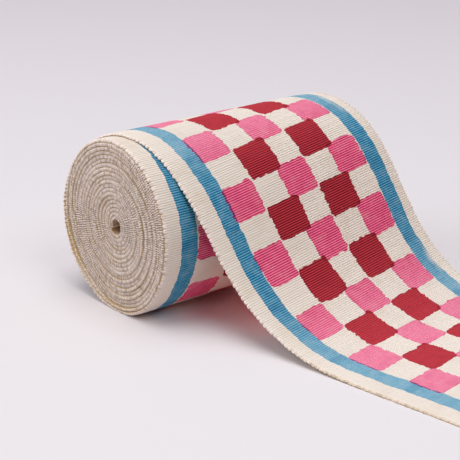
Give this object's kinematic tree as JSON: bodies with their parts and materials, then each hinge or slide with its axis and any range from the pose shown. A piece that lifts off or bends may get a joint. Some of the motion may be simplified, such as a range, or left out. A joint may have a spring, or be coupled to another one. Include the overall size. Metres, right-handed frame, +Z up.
{
  "type": "roll of block-printed trim",
  "caption": "Wide woven cotton ribbon wound into a roll, its printed outer end running over the top and lying out flat on the surface.",
  "frame": {"origin": "centre of the whole object's bounding box, on the surface it lies on", "axes": "+Z up; the roll's axis lies along X, with its eye's open near end towards -X; the loose end runs out towards -Y"},
  "size_m": [0.1344, 0.2052, 0.0698],
  "materials": {
    "ribbon_edge": "unprinted cream cotton, seen as the massed ribbed edges of the wound turns",
    "printed_ribbon": "cream ribbed cotton, hand-printed with pink and dark-red squares between blue stripes"
  },
  "bodies": {
    "root": {"wound_roll": "ribbon_edge", "loose_end": "printed_ribbon"}
  },
  "joints": []
}
